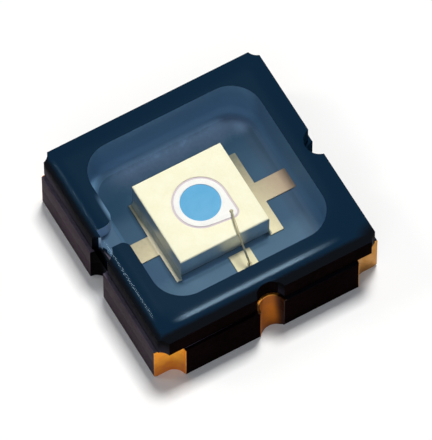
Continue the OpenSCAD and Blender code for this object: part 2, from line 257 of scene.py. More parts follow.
# The walls go from the floor's tone at their foot to a paler tone, palest at the rear wall and in the
# channel:
# painted light for walls that face away from the lamps
wallGlazePaintedLight = glazedCeramic('walls', 'wall')
channelGlazePaintedLight = glazedCeramic('channel', 'channel')


# Plated or printed metal: the tone wanders in clouds of several grains, and the gloss looks rubbed
def platedMetal(name, dark, pale, grainMm, rough, bumpMm, *tints, metallic=1.0, gloss=0.5):
    look = {'grainMm': grainMm, 'grain': {'Detail': 4.0, 'Roughness': 0.6}, 'cloudMm': 6 * grainMm,
            'cloud': {'Detail': 2.0}, 'rough': rough, 'bumpMm': bumpMm}
    finish = {'Metallic': metallic, 'Specular IOR Level': gloss}
    return grainyMaterial(name, (dark, pale), look, finish, tints)


# Gold over nickel in the corner slots: deep amber, softly burnished; browner to the right, painted shade for
# the contacts turned from the key lamp
contactGold = platedMetal('gold plating, burnished', '#f08c18', '#ffb83a', 0.06, (0.38, 0.58), 0.002,
                          ('#bc8436', 1.0, (('X', 0.0, 1.3),)))
# The plating in the edge notches is duller; its darker, redder tone and the near black of its right flank are
# painted shade
notchGold = platedMetal('gold plating, dull', '#945010', '#bb6d20', 0.06, (0.45, 0.65), 0.002,
                        ('#321606', 1.0, (('X', 0.06, 0.15),)))
# Its ledge is painted pale at the rear, painted light against the upper layer's shadow, and dark towards the
# front, painted shade
ledgeGold = platedMetal('gold plating, ledge', '#e09038', '#ffb850', 0.06, (0.45, 0.65), 0.002,
                        ('#2e1a08', 1.0, (('Y', -1.35, -1.41),)))
# Gold film on the chip's back: a thin sawn edge, dull grey
backGold = platedMetal('gold film, sawn', '#7c7a70', '#98948a', 0.03, (0.5, 0.65), 0.0004)
# Drawn gold wire: smooth and warm, pale under the resin
wireGold = platedMetal('drawn gold wire', '#b3a985', '#d3caa8', 0.03, (0.4, 0.55), 0.0005, metallic=0.6)
# Evaporated aluminium field: bright cream, almost white, very fine grain
fieldMetal = platedMetal('evaporated aluminium, cream', '#f8f4d2', '#fefbe0', 0.03, (0.55, 0.7), 0.0004,
                         metallic=0.0, gloss=0.1)
# Aluminium of the contact ring: whiter, a little cooler
ringMetal = platedMetal('evaporated aluminium, white', '#f5f4f0', '#fcfbf6', 0.03, (0.5, 0.65), 0.0004,
                        metallic=0.0, gloss=0.1)
# Silver-filled epoxy: pale grey, dull and grainy
silverEpoxy = platedMetal('silver-filled epoxy', '#b0b2a2', '#d0d0c0', 0.02, (0.55, 0.75), 0.002,
                          metallic=0.4)
# Silicon with sawn sides: grey half-mirror that picks up the pad and the floor
sawnSilicon = platedMetal('sawn silicon', '#bcc4c8', '#d8dcdc', 0.03, (0.4, 0.5), 0.0006)
# Antireflection coating over the junction: clean sky blue
windowCoat = platedMetal('antireflection coating, blue', '#5ba9d6', '#6ab4de', 0.12, (0.4, 0.5), 0.0001,
                         metallic=0.0, gloss=0.1)

# Thermal oxide over silicon: thin-film mauve in the line round the ring, cream where it thins out at the edge
oxideLook = {'line': '#d3c6ce', 'edge': '#f1ecd0', 'grainMm': 0.04, 'swayMm': 0.03, 'fromMm': 0.48,
             'toMm': 0.54, 'finish': {'Roughness': 0.45, 'Specular IOR Level': 0.1}}


def thermalOxide(middle):
    material, tree, place = newMaterial('thermal oxide film')
    spot = {1: [c * mm for c in middle]}
    reach = addNode(tree, 'VectorMath', spot, {0: place}, operation='DISTANCE').outputs['Value']
    grain = addNode(tree, 'TexNoise', {'Scale': noiseScale(oxideLook['grainMm']), 'Detail': 2.0},
                    {'Vector': place})
    sway = {1: oxideLook['swayMm'] * mm}
    wavering = addNode(tree, 'Math', sway, {0: grain, 2: reach}, operation='MULTIPLY_ADD')
    span = {'From Min': oxideLook['fromMm'] * mm, 'From Max': oxideLook['toMm'] * mm}
    level = addNode(tree, 'MapRange', span, {'Value': wavering})
    tones = ((0, oxideLook['line']), (1, oxideLook['edge']))
    skin = addNode(tree, 'ValToRGB', links={'Fac': level}, stops=tones)
    shader = addNode(tree, 'BsdfPrincipled', oxideLook['finish'], {'Base Color': skin})
    return finished(material, tree, shader)


# Fired thick-film gold on the floor: matt, beige under the resin, paler towards the front and darker and
# greener towards the rear, painted shade; paler still on the leg left of the chip, painted light against the
# chip's shadow; tan towards the right ends of the tabs
padLook = {'grainMm': 0.05, 'grainSway': 0.2, 'rearMm': 0.65, 'frontMm': -0.65, 'bumpMm': 0.0012, 'bump': 0.4,
           'finish': {'Metallic': 0.15, 'Roughness': 0.6, 'Specular IOR Level': 0.2},
           'tones': ((0.0, '#6c7264'), (0.45, '#bcb192'), (1.0, '#e2dab4')),
           'tints': (('#a38c76', 0.9, (('X', 0.6, 1.1),)),
                      ('#fff2d0', 1.0, (('X', -0.76, -0.73), ('X', -0.5, -0.6), ('Y', 0.45, 0.1))))}


def thickFilmGold():
    material, tree, place = newMaterial('thick-film gold, matt')
    axes = addNode(tree, 'SeparateXYZ', links={'Vector': place}).outputs
    span = {'From Min': padLook['rearMm'] * mm, 'From Max': padLook['frontMm'] * mm}
    depth = addNode(tree, 'MapRange', span, {'Value': axes['Y']})
    grain = addNode(tree, 'TexNoise', {'Scale': noiseScale(padLook['grainMm']), 'Detail': 3.0},
                    {'Vector': place})
    tone = addNode(tree, 'Math', {1: padLook['grainSway']}, {0: grain, 2: depth}, operation='MULTIPLY_ADD')
    middle = padLook['grainSway'] * noiseMiddle
    level = addNode(tree, 'MapRange', {'From Min': middle, 'From Max': 1 + middle}, {'Value': tone})
    colour = addNode(tree, 'ValToRGB', links={'Fac': level}, stops=padLook['tones'])
    skin = tinted(tree, place, colour, padLook['tints'])
    relief = {'Strength': padLook['bump'], 'Distance': padLook['bumpMm'] * mm}
    bump = addNode(tree, 'Bump', relief, {'Height': grain})
    shader = addNode(tree, 'BsdfPrincipled', padLook['finish'], {'Base Color': skin, 'Normal': bump})
    return finished(material, tree, shader)


padGold = thickFilmGold()

# Clear potting resin: see-through, with a glossy, slightly uneven skin that gleams along the left and goes
# dull where it thins out at the edges; smoky in the left notch, a dark sheet that is painted shade for the
# notch and the floor beside it; drawn without bending light, so that the chip stays sharp
resinLook = {'face': 0.0062, 'edge': 0.06, 'steepness': 5.0, 'roughness': 0.15, 'glossColour': '#bce0fb',
             'waveMm': 1.6, 'waveDeepMm': 0.004, 'wave': 0.35,
             'dullEdges': (('X', -1.4, -1.37), ('X', 1.33, 1.15), ('Y', -1.42, -1.34), ('Y', 1.36, 1.2)),
             'dullCorners': (((-1.455, -1.455, 0.95), 0.3, 0.52), ((1.455, -1.455, 0.95), 0.42, 1.2)),
             'leftGleam': (('X', -1.22, -1.3), ('Y', 0.1, -0.1)), 'gleamGain': 2.3,
             'clear': '#ffffff', 'smokyShade': '#4a5058', 'notch': (('X', -1.359, -1.361), ('Z', 0.76, 0.7))}


def pottingResin():
    material, tree, place = newMaterial('clear potting resin')
    wave = addNode(tree, 'TexNoise', {'Scale': noiseScale(resinLook['waveMm']), 'Detail': 1.0},
                   {'Vector': place})
    relief = {'Strength': resinLook['wave'], 'Distance': resinLook['waveDeepMm'] * mm}
    bump = addNode(tree, 'Bump', relief, {'Height': wave})
    notch = inside(tree, spansAlong(tree, place, resinLook['notch']), blend='LINEAR')
    tones = ((0, resinLook['clear']), (1, resinLook['smokyShade']))
    tint = addNode(tree, 'ValToRGB', links={'Fac': notch}, stops=tones)
    clear = addNode(tree, 'BsdfTransparent', links={'Color': tint})
    finish = {'Roughness': resinLook['roughness'], 'Color': linear(resinLook['glossColour'])}
    gloss = addNode(tree, 'BsdfGlossy', finish, {'Normal': bump})
    facing = addNode(tree, 'LayerWeight', {'Blend': 0.5}, {'Normal': bump}).outputs['Facing']
    steep = addNode(tree, 'Math', {1: resinLook['steepness']}, {0: facing}, operation='POWER')
    ends = {1: resinLook['edge'], 2: resinLook['face']}
    mirror = addNode(tree, 'Math', ends, {0: steep}, operation='MULTIPLY_ADD')
    spans = spansAlong(tree, place, resinLook['dullEdges'])
    for spot, dull, full in resinLook['dullCorners']:
        corner = {1: [c * mm for c in spot]}
        reach = addNode(tree, 'VectorMath', corner, {0: place}, operation='DISTANCE').outputs['Value']
        spans.append((reach, dull, full))
    mirror = addNode(tree, 'Math', links={0: mirror, 1: inside(tree, spans)}, operation='MULTIPLY')
    gleam = inside(tree, spansAlong(tree, place, resinLook['leftGleam']), resinLook['gleamGain'])
    mirror = addNode(tree, 'Math', links={0: gleam, 1: mirror, 2: mirror}, operation='MULTIPLY_ADD')
    shader = addNode(tree, 'MixShader', links={'Fac': mirror, 1: clear, 2: gloss})
    return finished(material, tree, shader)


clearResin = pottingResin()
print('materials made')

# Edges that turn by more than sharpDegrees stay crisp, points closer than weld become one, edges shorter than
# sliver go, and a cut runs past the body by over
meshing = {'sharpDegrees': 38, 'weld': 0.0004, 'sliver': 0.0002, 'over': 0.1}


# All shapes are drawn in millimetres and scaled to metres when they become pieces
def addPiece(name, mesh, materials, slotName, *replaced):
    mesh.transform(Matrix.Scale(mm, 4))
    mesh.name = name
    for material in materials:
        mesh.materials.append(material)
    mesh.shade_smooth()
    mesh.set_sharp_from_angle(angle=math.radians(meshing['sharpDegrees']))
    piece = bpy.data.objects.new(name, mesh)
    bpy.context.scene.collection.objects.link(piece)
    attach(piece, 'root')
    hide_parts(*replaced)
    return piece


def arc(cx, cy, r, start, end, count=28):
    angles = [math.radians(start + (end - start) * i / count) for i in range(count + 1)]
    return [(cx + r * math.cos(a), cy + r * math.sin(a)) for a in angles]


def roundedRectangle(x0, y0, x1, y1, r, count=28):
    return (arc(x1 - r, y0 + r, r, -90, 0, count) + arc(x1 - r, y1 - r, r, 0, 90, count)
            + arc(x0 + r, y1 - r, r, 90, 180, count) + arc(x0 + r, y0 + r, r, 180, 270, count))


def square(w, d):
    return [(-w / 2, -d / 2), (w / 2, -d / 2), (w / 2, d / 2), (-w / 2, d / 2)]


def meshFrom(work):
    bmesh.ops.recalc_face_normals(work, faces=work.faces)
    mesh = bpy.data.meshes.new('shape')
    work.to_mesh(mesh)
    work.free()
    return mesh


def curveMesh(curve, place):
    holder = bpy.data.objects.new('holder', curve)
    bpy.context.scene.collection.objects.link(holder)
    mesh = bpy.data.meshes.new_from_object(holder.evaluated_get(bpy.context.evaluated_depsgraph_get()))
    mesh.transform(place)
    bpy.data.objects.remove(holder)
    bpy.data.curves.remove(curve)
    work = bmesh.new()
    work.from_mesh(mesh)
    bmesh.ops.remove_doubles(work, verts=work.verts, dist=meshing['weld'])
    bmesh.ops.dissolve_degenerate(work, edges=work.edges, dist=meshing['sliver'])
    return meshFrom(work)


# Extrudes outlines with small rounded edges; the first loop is the outside, the others are holes
def plate(loops, zLow, zHigh, edge, steps=2):
    curve = bpy.data.curves.new('plate', 'CURVE')
    curve.dimensions = '2D'
    curve.fill_mode = 'BOTH'
    curve.extrude = (zHigh - zLow) / 2 - edge
    curve.bevel_depth = edge
    curve.bevel_resolution = steps
    curve.offset = -edge
    for index, loop in enumerate(loops):
        area = sum(a[0] * b[1] - b[0] * a[1] for a, b in zip(loop, loop[1:] + loop[:1]))
        points = loop if (area > 0) == (index == 0) else loop[::-1]
        spline = curve.splines.new('POLY')
        spline.points.add(len(points) - 1)
        for point, (x, y) in zip(spline.points, points):
            point.co = (x, y, 0, 1)
        spline.use_cyclic_u = True
    return curveMesh(curve, Matrix.Translation((0, 0, (zLow + zHigh) / 2)))


# Skins rings of points in order; an open stack gets flat ends, a closed one joins its last ring to its first
def skinned(rings, closed=False):
    work = bmesh.new()
    rows = [[work.verts.new(point) for point in ring] for ring in rings]
    for low, high in zip(rows, rows[1:] + (rows[:1] if closed else [])):
        for i in range(len(low)):
            j = (i + 1) % len(low)
            work.faces.new((low[i], low[j], high[j], high[i]))
    if not closed:
        work.faces.new(rows[0][::-1])
        work.faces.new(rows[-1])
    return meshFrom(work)


def prism(loop, zLow, zHigh):
    return skinned([[(x, y, z) for x, y in loop] for z in (zLow, zHigh)])


def joined(*meshes):
    work = bmesh.new()
    for mesh in meshes:
        work.from_mesh(mesh)
    whole = bpy.data.meshes.new('joined')
    work.to_mesh(whole)
    work.free()
    return whole


def combined(mesh, other, operation):
    holders = [bpy.data.objects.new('holder', part) for part in (mesh, other)]
    for holder in holders:
        bpy.context.scene.collection.objects.link(holder)
    step = holders[0].modifiers.new('combine', 'BOOLEAN')
    step.object = holders[1]
    step.operation = operation
    step.solver = 'EXACT'
    bpy.context.view_layer.update()
    whole = bpy.data.meshes.new_from_object(holders[0].evaluated_get(bpy.context.evaluated_depsgraph_get()))
    for holder in holders:
        bpy.data.objects.remove(holder)
    return whole


# Sizes of the carrier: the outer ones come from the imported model, the others are as in it
baseLow, baseHigh = nodeBox('base_layer')
upperHigh = nodeBox('upper_wall_layer')[1]
carrier = {'half': baseHigh[0], 'upperHalf': upperHigh[0], 'metal': baseLow[2], 'floorZ': baseHigh[2],
           'stepZ': nodeBox('lower_wall_layer')[1][2], 'rimZ': upperHigh[2], 'slotX': 0.335, 'slotY': 0.155,
           'notchR': 0.155, 'collarR': 0.189, 'notchY': 0.02, 'biteR': 0.15, 'footIn': 0.085,
           'plating': 0.007, 'edge': 0.003}
cavity = {'left': -1.115, 'right': 1.16, 'front': -1.03, 'rear': 1.21, 'corner': 0.4,
          'glaze': 0.12, 'glazeIn': 0.03, 'channelY': 0.12, 'channelW': 0.28, 'channelZ': 0.68,
          'channelX': -1.361, 'mouthRear': 0.14, 'mouthFront': 0.1, 'mouthIn': 0.05}
half = carrier['half']
metal = carrier['metal']
plating = carrier['plating']


# A round bite out of a straight edge, walked from left to right with the body on the far side
def bite(across, r, count=32):
    reach = math.degrees(math.acos(max(-1.0, min(1.0, across / r))))
    return [(r * math.sin(math.radians(a)), r * math.cos(math.radians(a)) - across)
            for a in [-reach + 2 * reach * i / count for i in range(count + 1)]]


wallBite = bite(0, carrier['notchR'] + plating)


def atFront(points):
    return [(x, y - half) for x, y in points]


# The front side, with its corner slot, edge, bite and edge, is turned to the right, the rear and the left
def turned(points, quarter):
    for _ in range(quarter):
        points = [(-y, x) for x, y in points]
    return points


def cornerSlot(grow, count=20):
    run = carrier['slotX'] - carrier['slotY']
    r = carrier['slotY'] + grow
    return [(-half, r - half), (run - half, r - half)] + arc(run - half, -half, r, 90, 0, count)[1:]


def lowerOutline():
    slot = cornerSlot(plating)
    front = atFront(wallBite)
    side = atFront(bite(0, carrier['notchR']))
    right = [(x + carrier['notchY'], y) for x, y in side]
    left = [(x - carrier['notchY'], y) for x, y in side]
    mirrored = [(-x, y) for x, y in slot[::-1]]
    path = slot + front + mirrored + turned(right, 1)
    path += turned(slot, 2) + turned(front, 2) + turned(mirrored, 2) + turned(left, 3)
    return path


def upperOutline(withLeft):
    edge = carrier['upperHalf']
    lean = math.degrees(math.asin((half - edge) / carrier['biteR']))
    corner = arc(-half, -half, carrier['biteR'], 90 - lean, lean, 20)
    collar = [(x, y - edge) for x, y in bite(half - edge, carrier['collarR'])]
    right = [(x + carrier['notchY'], y) for x, y in collar]
    left = [(x - carrier['notchY'], y) for x, y in collar]
    path = corner + collar + turned(corner, 1) + turned(right, 1) + turned(corner, 2) + turned(corner, 3)
    return path + (turned(left, 3) if withLeft else [])


def cavityOutline(out=0.0):
    return roundedRectangle(cavity['left'] - out, cavity['front'] - out, cavity['right'] + out,
                            cavity['rear'] + out, cavity['corner'] + out)


# Ring of glaze that has run into the angle between the floor and the walls
def glazeFoot(steps=8):
    reach = cavity['glaze']
    z = carrier['floorZ']
    section = [(cavity['glazeIn'], z), (-reach, z)]
    for step in range(1, steps + 1):
        turn = math.radians(90 * step / steps)
        section.append((reach * (math.sin(turn) - 1), z + reach * (1 - math.cos(turn))))
    section.append((cavity['glazeIn'], z + reach))
    return skinned([[(x, y, height) for x, y in cavityOutline(out)] for out, height in section], closed=True)


# Channel from the cavity to the left notch, its mouth rounded towards the cavity
def channelOutline(out=0.0):
    low = cavity['channelY'] - cavity['channelW'] / 2 - out
    high = cavity['channelY'] + cavity['channelW'] / 2 + out
    wall = cavity['left'] - out
    end = cavity['channelX'] - out
    mouth = wall + cavity['mouthIn']
    rear = cavity['mouthRear']
    front = cavity['mouthFront']
    return (arc(wall - rear, high + rear, rear, 0, -90, 12) + [(end, high), (end, low)]
            + arc(wall - front, low - front, front, 90, 0, 12) + [(mouth, low - front), (mouth, high + rear)])


baseMesh = plate([lowerOutline()], metal, carrier['floorZ'], carrier['edge'])
base = addPiece('carrierBase', baseMesh, [litSideCeramic, floorGlaze, shadedFaceCeramic, notchCeramic, rimCeramic],
                'carrier_black', 'base_layer')
wallMesh = plate([lowerOutline()], carrier['floorZ'], carrier['stepZ'], carrier['edge'])
hollow = prism(cavityOutline(), carrier['floorZ'] - meshing['over'], carrier['rimZ'] + meshing['over'])
wallMesh = combined(combined(wallMesh, hollow, 'DIFFERENCE'), glazeFoot(), 'UNION')
lowerWall = addPiece('lowerWall', wallMesh,
                     [litSideCeramic, wallGlazePaintedLight, shadedFaceCeramic, notchCeramic, rimCeramic, litLedgeCeramic],
                     'carrier_black', 'lower_wall_layer')
rimMesh = plate([upperOutline(True)], carrier['stepZ'], carrier['rimZ'], carrier['edge'])
channelCut = prism(channelOutline(), cavity['channelZ'], carrier['rimZ'] + meshing['over'])
rimMesh = combined(combined(rimMesh, hollow, 'DIFFERENCE'), channelCut, 'DIFFERENCE')
upperWall = addPiece('upperWall', rimMesh,
                     [upperCeramic, wallGlazePaintedLight, shadedFaceCeramic, rimCeramic, floorGlaze, channelGlazePaintedLight],
                     'carrier_black', 'upper_wall_layer')

# Where each finish ends: slack in mm round the openings, and how far a face has to look up or forward
skins = {'slack': 0.02, 'hair': 0.01, 'mouth': 0.15, 'notchEdge': 0.005, 'top': 0.002, 'shadedFaceX': 1.2,
         'flat': 0.9, 'level': 0.7, 'upright': 0.5, 'rising': 0.4, 'leaning': 0.3}


# Glaze shows on the floor, the walls' inner faces and in the channel; the right notch gets the rim's navy,
# painted sheen
def carrierSkin(layer, spot, normal):
    x, y, z = spot
    slack = skins['slack']
    hair = skins['hair']
    inCavity = (cavity['left'] - slack < x < cavity['right'] + slack
                and cavity['front'] - slack < y < cavity['rear'] + slack)
    inChannel = (cavity['channelX'] - slack < x < 0
                 and abs(y - cavity['channelY']) < cavity['channelW'] / 2 + skins['mouth']
                 and cavity['channelZ'] - hair < z < carrier['rimZ'] - hair)
    edge = carrier['upperHalf'] if layer == 'upper' else half
    inNotch = (edge - carrier['collarR'] - hair < abs(x) < edge - skins['notchEdge']
               and abs(y - carrier['notchY']) < carrier['collarR'] + hair)
    upright = abs(normal.z) < skins['upright']
    leaning = normal.z > skins['leaning']
    if layer == 'base' and normal.z > skins['flat']:
        return floorGlaze
    if layer == 'lower' and inCavity and normal.z > -skins['upright'] and z < carrier['stepZ'] - skins['top']:
        return wallGlazePaintedLight
    if layer == 'upper' and inChannel and normal.z > skins['upright']:
        return floorGlaze
    if layer == 'upper' and upright and inChannel and x < cavity['left'] - skins['top']:
        return channelGlazePaintedLight
    if layer == 'upper' and upright and (inCavity or inNotch and x < 0 and normal.y > -skins['leaning']):
        return wallGlazePaintedLight
    if layer != 'upper' and x > 0 and (inNotch or layer == 'lower' and leaning):
        return rimCeramic
    if layer == 'upper' and (inNotch or normal.z > skins['rising']):
        return rimCeramic
    if inNotch:
        return notchCeramic
    if abs(x) < skins['shadedFaceX'] and abs(normal.y) > skins['level']:
        return shadedFaceCeramic
    if normal.z > skins['level'] and abs(y) > carrier['upperHalf']:
        return shadedFaceCeramic
    if layer == 'lower' and leaning:
        return litLedgeCeramic
    return upperCeramic if layer == 'upper' else litSideCeramic


for layer, piece in (('base', base), ('lower', lowerWall), ('upper', upperWall)):
    for face in piece.data.polygons:
        skin = carrierSkin(layer, face.center / mm, face.normal)
        face.material_index = piece.data.materials.find(skin.name)
print('carrier made')

# Gold contacts: plating in the slots and the solder lands under them
contacts = {'land': 0.25, 'edge': 0.004, 'shellEdge': 0.0015, 'inset': 0.03, 'rearIn': 0.01,
            'sweepZ': 0.06, 'sweepH': 0.46, 'sweepRows': 16}


def mirroredTo(mesh, side, end):
    mesh.transform(Matrix.Diagonal((side, end, 1, 1)))
    if side * end < 0:
        mesh.flip_normals()
    return mesh


def slotPlating(setIn):
    inner = cornerSlot(0)
    rim = [(max(x, setIn - half), y) for x, y in inner + cornerSlot(plating)[::-1]]
    shell = plate([rim], metal, carrier['stepZ'], contacts['shellEdge'])
    reachX = carrier['slotX'] + contacts['land'] - half
    reachY = carrier['slotY'] + contacts['land'] - half
    near = contacts['inset'] - half
    loop = inner + [(reachX, -half), (reachX, reachY), (-half, reachY)]
    land = plate([[(max(x, near), max(y, near)) for x, y in loop]], 0.0, metal, contacts['edge'])
    return joined(shell, land)


for end, endName, setIn in ((-1, 'front', 0.0), (1, 'rear', contacts['rearIn'])):
    for side, sideName in ((-1, 'left'), (1, 'right')):
        plated = mirroredTo(slotPlating(setIn), -side, -end)
        addPiece(endName + sideName.title() + 'Contact', plated, [contactGold], 'gold_plating',
                 endName + '_' + sideName + '_contact')


# The plating in an edge notch runs from the half-round top down to a shallower foot in one smooth sweep
def notchPlating(withLedge):
    footR = (carrier['notchR'] ** 2 + carrier['footIn'] ** 2) / (2 * carrier['footIn'])
    foot = bite(footR - carrier['footIn'], footR)
    notch = bite(0, carrier['notchR'])
    rings = []
    for row in range(contacts['sweepRows'] + 1):
        z = metal + (carrier['stepZ'] - metal) * row / contacts['sweepRows']
        t = max(0.0, min(1.0, (z - contacts['sweepZ']) / contacts['sweepH']))
        t = t * t * (3 - 2 * t)
        face = [(a[0] + (b[0] - a[0]) * t, a[1] + (b[1] - a[1]) * t) for a, b in zip(foot, notch)]
        rings.append([(x, y, z) for x, y in atFront(face + wallBite[::-1])])
    wide = carrier['notchR'] + contacts['land'] / 2
    deep = carrier['notchR'] + contacts['land'] - half
    loop = atFront(foot) + [(wide, -half), (wide, deep), (-wide, deep), (-wide, -half)]
    land = [(x, max(y, contacts['inset'] - half)) for x, y in loop]
    parts = [skinned(rings), plate([land], 0.0, metal, contacts['edge'])]
    if withLedge:
        ledge = atFront(notch + bite(0, carrier['collarR'])[::-1])
        parts.append(plate([ledge], carrier['stepZ'], carrier['stepZ'] + metal, contacts['edge']))
    return joined(*parts)


frontContact = addPiece('frontContact', notchPlating(True), [notchGold, ledgeGold], 'gold_plating',
                        'front_contact')
for face in frontContact.data.polygons:
    if face.center.z > carrier['stepZ'] * mm:
        face.material_index = 1
addPiece('rearContact', mirroredTo(notchPlating(False), -1, -1), [notchGold], 'gold_plating', 'rear_contact')
print('contacts made')

# Printed pads on the cavity floor; the die pad is left open under the chip's front edge
chipLow, chipHigh = nodeBox('apd_chip')
bondHigh = nodeBox('bond_pad')[1]
pads = {'left': -0.738, 'right': 0.702, 'front': -0.5435, 'rear': 0.6215, 'recessY': -0.4535, 'tabY': 0.015,
        'tabW': 0.28, 'railX': 1.25, 'railW': 0.1, 'railEnd': 1.31, 'bondLeft': -0.055, 'bondEnd': -1.13,
        'leadW': 0.2, 'leadEnd': -1.34, 'edge': 0.006}
padTop = nodeBox('die_pad')[1][2]


def dieOutline():
    low = pads['tabY'] - pads['tabW'] / 2
    high = pads['tabY'] + pads['tabW'] / 2
    inner = pads['railX'] - pads['railW'] / 2
    outer = pads['railX'] + pads['railW'] / 2
    stop = pads['railEnd']
    return [(pads['left'], pads['front']), (chipLow[0], pads['front']), (chipLow[0], pads['recessY']),
            (chipHigh[0], pads['recessY']), (chipHigh[0], pads['front']), (pads['right'], pads['front']),
            (pads['right'], low), (inner, low), (inner, -stop), (outer, -stop), (outer, stop), (inner, stop),
            (inner, high), (pads['right'], high), (pads['right'], pads['rear']), (pads['left'], pads['rear']),
            (pads['left'], high), (-inner, high), (-inner, stop), (-outer, stop), (-outer, -stop),
            (-inner, -stop), (-inner, low), (pads['left'], low)]


def bondOutline():
    lead = pads['leadW'] / 2
    return [(pads['bondLeft'], pads['bondEnd']), (-lead, pads['bondEnd']), (-lead, pads['leadEnd']),
            (lead, pads['leadEnd']), (lead, pads['bondEnd']), (bondHigh[0], pads['bondEnd']),
            (bondHigh[0], bondHigh[1]), (pads['bondLeft'], bondHigh[1])]


for name, outline, node in (('diePad', dieOutline(), 'die_pad'), ('bondPad', bondOutline(), 'bond_pad')):
    addPiece(name, plate([outline], carrier['floorZ'], padTop, pads['edge']), [padGold], 'gold_plating', node)

# Chip stack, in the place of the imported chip
chip = {'x': (chipLow[0] + chipHigh[0]) / 2, 'y': (chipLow[1] + chipHigh[1]) / 2,
        'w': chipHigh[0] - chipLow[0], 'd': chipHigh[1] - chipLow[1], 'margin': 0.006, 'windowR': 0.245,
        'ringR': 0.318, 'gap': 0.025, 'lobeR': 0.068, 'lobeReach': 0.38, 'lobeAngle': -48,
        'edge': 0.005, 'filmEdge': 0.002, 'metalEdge': 0.003}
glue = {'foot': 0.03, 'climb': 0.08, 'bend': 1.6, 'rows': 6, 'corner': 0.002, 'setIn': 0.004}
glueTop = nodeBox('chip_back_contact')[0][2]
lobeTurn = math.radians(chip['lobeAngle'])
chipBottom = chipLow[2]
chipTop = chipHigh[2]
oxideTop = nodeBox('oxide_layer')[1][2]
metalTop = nodeBox('anode_ring')[1][2]


def onChip(points):
    return [(x + chip['x'], y + chip['y']) for x, y in points]


def keyhole(grow):
    big = chip['ringR'] + grow
    small = chip['lobeR'] + grow
    touch = math.degrees(math.acos((big - small) / chip['lobeReach']))
    points = arc(0, 0, big, touch, 360 - touch, 72) + arc(chip['lobeReach'], 0, small, -touch, touch, 24)
    along = math.cos(lobeTurn)
    aside = math.sin(lobeTurn)
    return [(x * along - y * aside, x * aside + y * along) for x, y in points]


# The adhesive creeps out and climbs the chip's sides
def glueFillet():
    front = pads['front'] + glue['setIn']
    rear = pads['rear'] - glue['setIn']
    rings = []
    for row in range(glue['rows'] + 1):
        t = row / glue['rows']
        out = glue['foot'] * (1 - t) ** glue['bend']
        reachX = chip['w'] / 2 + out
        reachY = chip['d'] / 2 + out
        loop = onChip(roundedRectangle(-reachX, -reachY, reachX, reachY, glue['corner'] + out, 6))
        rings.append([(x, max(front, min(y, rear)), padTop + glue['climb'] * t) for x, y in loop])
    outside = pads['front'] - meshing['over']
    recessLoop = [(chipLow[0], outside), (chipHigh[0], outside), (chipHigh[0], pads['recessY']),
                  (chipLow[0], pads['recessY'])]
    recess = prism(recessLoop, padTop - meshing['over'], chipTop)
    seat = prism(chipLoop, glueTop, chipTop)
    return combined(combined(skinned(rings), recess, 'DIFFERENCE'), seat, 'DIFFERENCE')


chipLoop = onChip(square(chip['w'], chip['d']))
windowLoop = onChip(arc(0, 0, chip['windowR'], 0, 355, 71))
fieldLoop = onChip(square(chip['w'] - 2 * chip['margin'], chip['d'] - 2 * chip['margin']))
ringLoop = onChip(keyhole(0))
gapLoop = onChip(keyhole(chip['gap']))
oxideFilm = thermalOxide((chip['x'], chip['y'], oxideTop))
addPiece('dieAttach', glueFillet(), [silverEpoxy], 'silver_adhesive', 'die_attach')
addPiece('backContact', plate([chipLoop], glueTop, chipBottom, chip['filmEdge']), [backGold],
         'gold_plating', 'chip_back_contact')
addPiece('siliconChip', plate([chipLoop], chipBottom, chipTop, chip['edge']), [sawnSilicon],
         'silicon', 'apd_chip')
addPiece('oxideLayer', plate([chipLoop, windowLoop], chipTop, oxideTop, chip['filmEdge']), [oxideFilm],
         'oxide_film', 'oxide_layer')
addPiece('activeWindow', plate([windowLoop], chipTop, oxideTop, chip['filmEdge']), [windowCoat],
         'window_coating', 'active_window')
addPiece('anodeRing', plate([ringLoop, windowLoop], oxideTop, metalTop, chip['metalEdge']), [ringMetal],
         'chip_metal', 'anode_ring')
addPiece('shieldMetal', plate([fieldLoop, gapLoop], oxideTop, metalTop, chip['metalEdge']), [fieldMetal],
         'chip_metal', 'shield_metal')
print('chip made')

# Bond wire: one low arc from the ball over the chip's edge to the stitch; the profiles of ball and stitch are
# shares of radius and height
wire = {'d': 0.025, 'clear': 0.03, 'edgeX': 0.105, 'stitchX': 0.12, 'stitchY': -0.7535,
        'ballD': 0.046, 'ballH': 0.024, 'stitchD': 0.06, 'stitchH': 0.012,
        'ball': ((0.86, 0.0), (0.97, 0.18), (1.0, 0.4), (0.94, 0.62), (0.74, 0.85), (0.5, 1.0)),
        'stitch': ((1.0, 0.0), (1.0, 0.45), (0.8, 0.85), (0.5, 1.0))}
ballAt = Vector((chip['x'] + chip['lobeReach'] * math.cos(lobeTurn),
                 chip['y'] + chip['lobeReach'] * math.sin(lobeTurn), metalTop + wire['ballH'] / 2))
edgeAt = Vector((wire['edgeX'], chip['y'] - chip['d'] / 2, metalTop + wire['clear'] + wire['d'] / 2))
stitchAt = Vector((wire['stitchX'], wire['stitchY'], padTop + wire['stitchH'] / 2))


# Points on the circle through the ball, a spot over the chip's edge and the stitch
def wirePath(count=40):
    toEdge = edgeAt - ballAt
    toStitch = stitchAt - ballAt
    normal = toEdge.cross(toStitch)
    middle = ballAt + (normal.cross(toEdge) * toStitch.length_squared
                       + toStitch.cross(normal) * toEdge.length_squared) / (2 * normal.length_squared)
    across = (ballAt - middle).normalized()
    along = normal.normalized().cross(across)
    r = (ballAt - middle).length
    sweep = math.atan2((stitchAt - middle).dot(along), (stitchAt - middle).dot(across)) % (2 * math.pi)
    return [middle + r * (across * math.cos(sweep * i / count) + along * math.sin(sweep * i / count))
            for i in range(count + 1)]


